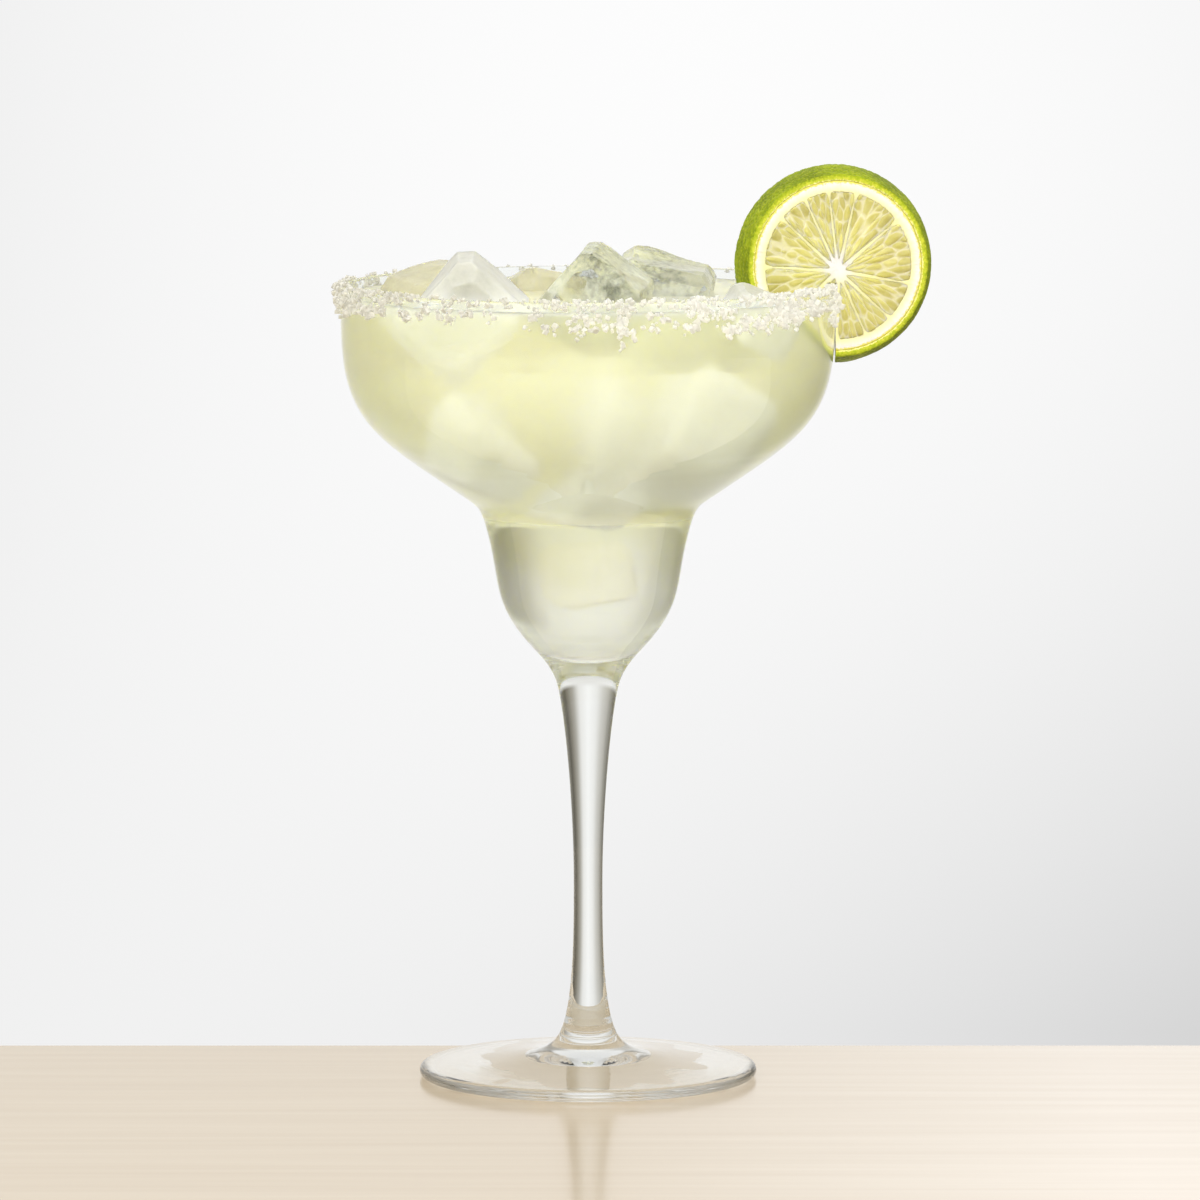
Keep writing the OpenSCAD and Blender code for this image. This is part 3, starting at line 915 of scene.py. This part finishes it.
def buildSalt():
    draw = random.Random(salt["seed"])
    shapes = crystalShapes(draw, salt["shapes"])
    points, faces, tones = [], [], []

    def addGrain(place, size, flat=1.0):
        if not clearOfLime(place, 0.6 * size):
            return
        corners, sides = draw.choice(shapes)
        turn = Euler([draw.uniform(0, 2 * math.pi) for _ in range(3)]).to_matrix()
        turn = turn @ Matrix.Diagonal((size, size, size * flat))
        first = len(points)
        # painted shade: greyer towards the left, where less lamp light falls, mixed with a random tone per
        # grain
        tone = 0.35 * draw.random() + 0.65 * smoothstep(-0.8, 0.5, place.x / rimRadius)
        points.extend(place + turn @ c for c in corners)
        faces.extend([first + i for i in side] for side in sides)
        tones.extend([tone] * len(corners))

    def between(sizes, power):
        return sizes[0] + (sizes[1] - sizes[0]) * draw.random() ** power

    def ringSpot(turn, radius, height):
        return Vector((radius * math.cos(turn), radius * math.sin(turn), height))

    def thinned(turn):
        # true where a grain on the far side is left out
        return math.sin(turn) > 0.25 and draw.random() > salt["backShare"]

    angles, shares, depths = zip(*salt["band"])
    for _ in range(salt["lipGrains"]):
        turn, size = draw.uniform(-math.pi, math.pi), between(salt["lipSizes"], 1.5)
        if draw.random() > salt["lipShare"] + np.interp(math.degrees(turn), angles, shares):
            continue
        patch = noise.noise(Vector((9 * math.cos(turn), 9 * math.sin(turn), 0.3)))
        if thinned(turn) or patch < draw.uniform(-1.1, 0.1):
            continue
        around = draw.gauss(0.45, 0.5)           # 0 is the lip's outside, 1 is its top
        lean = max(-0.4, min(1, around)) * math.pi / 2
        stand = salt["lipRound"] + 0.4 * size
        out, rise = stand * math.cos(lean), stand * math.sin(lean)
        addGrain(ringSpot(turn, lipPoint.x + out, lipPoint.y - salt["lipRound"] + rise), size)
    for _ in range(salt["clumps"]):
        degrees = draw.uniform(-180, 180)
        turn = math.radians(degrees)
        patch = 1 + 0.8 * noise.noise(Vector((11 * math.cos(turn), 11 * math.sin(turn), 5.1)))
        if draw.random() > patch * np.interp(degrees, angles, shares):
            continue
        drop = salt["bandTop"] + draw.random() ** 1.2 * np.interp(degrees, angles, depths) * mm
        for _ in range(draw.randint(*salt["clumpGrains"])):
            size = between(salt["clumpSizes"], 1.8)
            aside = draw.gauss(0, salt["clumpSpread"]) / rimRadius
            lower = draw.gauss(0, 0.8 * salt["clumpSpread"])
            layer = draw.random() ** 2 * 0.7 * size
            spot = ringSpot(turn + aside, rimRadius + 0.3 * size + layer, lipPoint.y - drop - lower)
            addGrain(spot, size, draw.uniform(0.45, 0.9))
    piece = meshPiece("salt_crust", points, faces, smooth=False)
    storeValues(piece.data, "grainToneAndSideShade", tones)
    piece.data.materials.append(saltMaterial())
    piece.visible_shadow = False
    seat(piece, "glass", "salt", "salt_rim")
    print("salt made:", len(points), "points")


buildSalt()


# Stage: a pale board whose back edge is just behind the foot, a white sweep and soft lamps

stage = {
    "boardBack": 43 * mm,
    "boardFront": -1.5,
    "boardHalf": 1.2,
    "boardThick": 28 * mm,
    "boardDrop": 0.2 * mm,     # hair of air under the foot
    "edge": 1.2 * mm,
    # light by direction around the glass: degrees from straight behind, to the right
    "ring": ((-180, 0.55), (-120, 0.42), (-90, 0.14), (-56, 0.2), (-40, 0.37), (-22, 0.62), (-12, 0.86),
             (0, 0.98), (12, 0.84), (22, 0.4), (33, 0.2), (44, 0.1), (57, 0.15), (90, 0.14), (120, 0.42),
             (180, 0.55)),
    "upper": ((-180, 0.6), (-90, 0.7), (-50, 0.95), (-20, 0.86), (0, 0.84), (20, 0.86), (50, 0.95),
              (90, 0.6), (180, 0.6)),
    "top": 0.75,
    "warmth": (1.0, 1.045, 1.165),   # power of each colour, which warms what is dark
    "boardTones": (paint(175, 160, 137), paint(181, 167, 145)),
    # painted light: lighter tones to the right, where the lamps light the board more
    "rightLitTones": (paint(201, 190, 177), paint(207, 197, 185)),   # to the right
    # place, width and watts
    "lamps": {"key_lamp": ((0.85, -0.75, 1.35), 0.7, 20),
              "fill_lamp": ((-1.3, -0.7, 0.7), 0.9, 15),
              "front_lamp": ((-0.4, -1.6, 0.8), 0.8, 13)},
    "lampTarget": (0, 0, 0.15),
    # what the camera sees behind, by the ray's direction
    "sweep": {"white": 0.99, "span": 0.07, "middle": 0.012, "edge": 6.7,
              "heights": (-0.045, -0.163), "fall": 0.068, "lean": 0.93},
    "bounces": {"all": 40, "through": 32, "glossy": 16, "seeThrough": 12},    # of light
}


def boardMaterial():
    material, tree, inputs = newMaterial("pale_board", Roughness=0.15, Specular_IOR_Level=0.22)
    place = tree.nodes.new("ShaderNodeTexCoord").outputs["Object"]
    stretch = addNode(tree, "ShaderNodeMapping", {"Vector": place, "Scale": (1.5, 40.0, 40.0)})
    settings = {"Vector": stretch.outputs["Vector"], "Scale": 4.0, "Detail": 8.0}
    grain = addNode(tree, "ShaderNodeTexNoise", settings)
    streaks = remap(tree, grain.outputs["Fac"], 0.3, 0.7, 0.0, 1.0)
    tone = blendColours(tree, streaks, *stage["boardTones"])
    rightLit = blendColours(tree, streaks, *stage["rightLitTones"])
    aside = addNode(tree, "ShaderNodeSeparateXYZ", {"Vector": place}).outputs["X"]
    # painted light: the board turns to its lighter, lit tones towards the right
    feed(tree, inputs["Base Color"], blendColours(tree, remap(tree, aside, 0.0, 0.12, 0.0, 1.0), tone, rightLit))
    feed(tree, inputs["Normal"], bumped(tree, grain.outputs["Fac"], 0.05, 0.5 * mm))
    return material


def buildBoard():
    work = bmesh.new()
    bmesh.ops.create_cube(work, size=1)
    depth = stage["boardBack"] - stage["boardFront"]
    bmesh.ops.scale(work, verts=work.verts, vec=(2 * stage["boardHalf"], depth, stage["boardThick"]))
    middle = (stage["boardBack"] + stage["boardFront"]) / 2
    centre = (0, middle, -stage["boardThick"] / 2 - stage["boardDrop"])
    bmesh.ops.translate(work, verts=work.verts, vec=centre)
    bmesh.ops.bevel(work, geom=work.edges[:], offset=stage["edge"], segments=3, affect="EDGES")
    mesh = bpy.data.meshes.new("board")
    work.to_mesh(mesh)
    work.free()
    mesh.materials.append(boardMaterial())
    objectFor("board", mesh)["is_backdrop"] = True


def ramp(tree, value, stops):
    made = tree.nodes.new("ShaderNodeValToRGB")
    feed(tree, made.inputs["Fac"], value)
    marks = made.color_ramp.elements
    while len(marks) < len(stops):
        marks.new(0.5)
    for mark, (degrees, light) in zip(marks, stops):
        mark.position = 0.5 + degrees / 360
        mark.color = (*(light ** power for power in stage["warmth"]), 1)
    return made.outputs["Color"]


def studioLight(tree, parts):
    # the lit sweep behind, dark sides, and soft light from the front and above
    turn = maths(tree, "ARCTAN2", parts["X"], parts["Y"])
    share = remap(tree, turn, -math.pi, math.pi, 0.0, 1.0)
    low, high = (ramp(tree, share, stage[name]) for name in ("ring", "upper"))
    ring = blendColours(tree, remap(tree, parts["Z"], 0.2, 0.32, 0.0, 1.0), low, high)
    above = remap(tree, parts["Z"], 0.35, 0.85, 0.0, 1.0)
    return blendColours(tree, above, ring, (stage["top"],) * 3 + (1,))


def sweepLight(tree, parts):
    # what the camera sees behind: white, darker to the lower right
    sweep = stage["sweep"]
    aside = maths(tree, "MAXIMUM", maths(tree, "MINIMUM", parts["X"], sweep["span"]), -sweep["span"])
    low = remap(tree, parts["Z"], *sweep["heights"], 0.0, 1.0)
    off = maths(tree, "ABSOLUTE", maths(tree, "SUBTRACT", aside, sweep["middle"]))
    edge = maths(tree, "MULTIPLY", maths(tree, "POWER", off, 2.0), sweep["edge"])
    slope = maths(tree, "ADD", sweep["fall"], maths(tree, "MULTIPLY", aside, sweep["lean"]))
    fall = maths(tree, "MULTIPLY", slope, maths(tree, "POWER", low, 2.2))
    shown = maths(tree, "SUBTRACT", maths(tree, "SUBTRACT", sweep["white"], edge), fall)
    return maths(tree, "POWER", shown, 2.2)


def buildWorld():
    world = bpy.data.worlds.new("white_sweep")
    bpy.context.scene.world = world
    world.use_nodes = True
    tree = world.node_tree
    tree.nodes.clear()
    ray = tree.nodes.new("ShaderNodeTexCoord").outputs["Generated"]
    parts = addNode(tree, "ShaderNodeSeparateXYZ", {"Vector": ray}).outputs
    studio = addNode(tree, "ShaderNodeBackground", {"Color": studioLight(tree, parts), "Strength": 1.0})
    shown = sweepLight(tree, parts)
    sweep = addNode(tree, "ShaderNodeBackground", {"Color": (1, 1, 1, 1), "Strength": shown})
    mix = tree.nodes.new("ShaderNodeMixShader")
    feed(tree, mix.inputs[0], tree.nodes.new("ShaderNodeLightPath").outputs["Is Camera Ray"])
    feed(tree, mix.inputs[1], studio.outputs[0])
    feed(tree, mix.inputs[2], sweep.outputs[0])
    feed(tree, tree.nodes.new("ShaderNodeOutputWorld").inputs["Surface"], mix.outputs[0])


def buildLamp(name, place, size, watts):
    light = bpy.data.lights.new(name, "AREA")
    light.size = size
    light.energy = watts
    holder = bpy.data.objects.new(name, light)
    holder.location = place
    aim = Vector(stage["lampTarget"]) - Vector(place)
    holder.rotation_euler = aim.to_track_quat("-Z", "Y").to_euler()
    holder.visible_glossy = False
    holder.visible_transmission = False
    bpy.context.scene.collection.objects.link(holder)


def buildStage():
    buildBoard()
    buildWorld()
    for name, (place, size, watts) in stage["lamps"].items():
        buildLamp(name, place, size, watts)
    scene = bpy.context.scene
    scene.view_settings.view_transform = "Standard"
    bounces = stage["bounces"]
    scene.cycles.max_bounces = bounces["all"]
    scene.cycles.transmission_bounces = bounces["through"]
    scene.cycles.glossy_bounces = bounces["glossy"]
    scene.cycles.transparent_max_bounces = bounces["seeThrough"]
    print("stage made")


buildStage()
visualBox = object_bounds()
for label, box in (("frame", cadBox), ("scene", visualBox)):
    print("box of the", label, [round(v, 4) for corner in box for v in corner])
